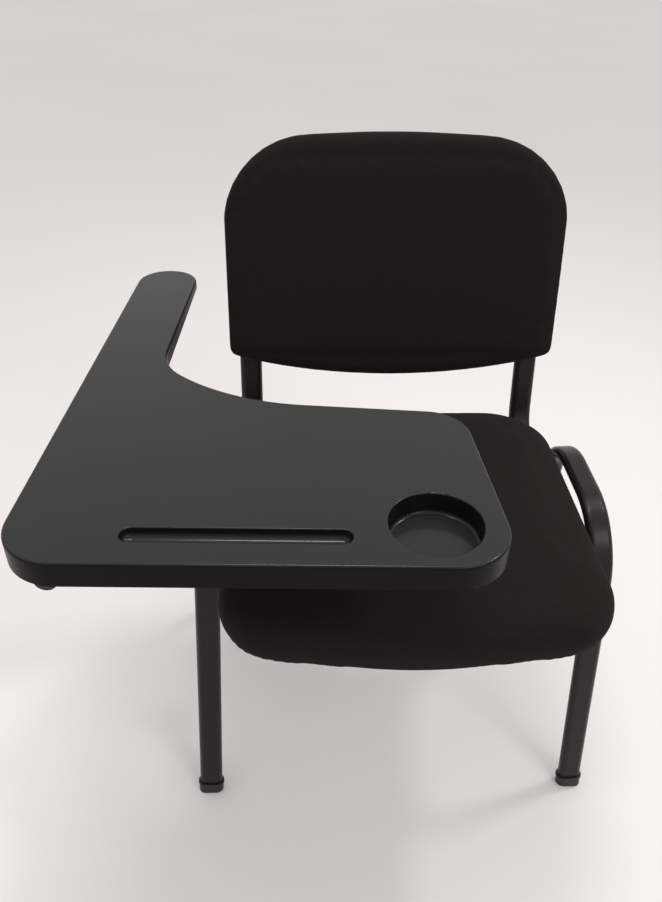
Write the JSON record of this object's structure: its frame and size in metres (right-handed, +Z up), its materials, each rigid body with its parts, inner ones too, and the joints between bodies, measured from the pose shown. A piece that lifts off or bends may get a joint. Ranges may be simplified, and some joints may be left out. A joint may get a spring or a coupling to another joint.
{
  "type": "tablet arm chair",
  "caption": "Upholstered training chair on a bent flat-oval tube frame, with a moulded writing tablet that flips up beside the seat and holds a pen groove and a cup recess.",
  "frame": {"origin": "on the floor, on the chair's middle plane, below the middle of the seat", "axes": "+Z up, the sitter faces -Y, +X to the sitter's left; the tablet is on the sitter's right at -X"},
  "size_m": [0.621, 0.6515, 0.7866],
  "materials": {
    "frame_paint": "satin black powder coat",
    "black_plastic": "fine-grained moulding",
    "tablet_plastic": "fine-grained dark grey moulding",
    "black_fabric": "plain weave upholstery",
    "foam": "cut polyurethane foam",
    "plywood": "raw plywood",
    "zinc_steel": "bright zinc plating",
    "buffer_rubber": "moulded rubber"
  },
  "bodies": {
    "frame": {"left_leg_frame": "frame_paint", "right_leg_frame": "frame_paint", "front_cross_rail": "frame_paint", "rear_cross_rail": "frame_paint", "left_back_upright": "frame_paint", "right_back_upright": "frame_paint", "rail_plugs": "black_plastic", "front_left_foot": "black_plastic", "rear_left_foot": "black_plastic", "front_right_foot": "black_plastic", "rear_right_foot": "black_plastic", "seat_pan": "black_plastic", "seat_board": "plywood", "seat_foam": "foam", "seat_cover": "black_fabric", "seat_tee_nuts": "zinc_steel", "seat_bolts": "zinc_steel", "seat_washers": "zinc_steel", "back_board": "plywood", "back_foam": "foam", "back_cover": "black_fabric", "back_shell": "black_plastic", "back_spacers": "black_plastic", "back_inserts": "zinc_steel", "back_bolts": "zinc_steel", "hinge_tube": "frame_paint", "front_hinge_cap": "black_plastic", "rear_hinge_cap": "black_plastic", "stop_pin": "zinc_steel", "rest_tongue": "frame_paint", "rest_buffer": "buffer_rubber", "arm_post": "frame_paint", "arm_plate": "frame_paint", "arm_bolts": "zinc_steel", "arm_washers": "zinc_steel", "arm_nuts": "zinc_steel"},
    "tablet": {"tablet_top": "tablet_plastic", "front_pivot_block": "black_plastic", "rear_pivot_block": "black_plastic", "pivot_screws": "zinc_steel"}
  },
  "joints": [
    {"name": "tablet_flip", "type": "hinge", "parent": "frame", "child": "tablet", "pos_m": [-0.3, 0, 0.596], "axis": [-0.0576, -0.9983, 0], "range_deg": [0, 95]}
  ]
}
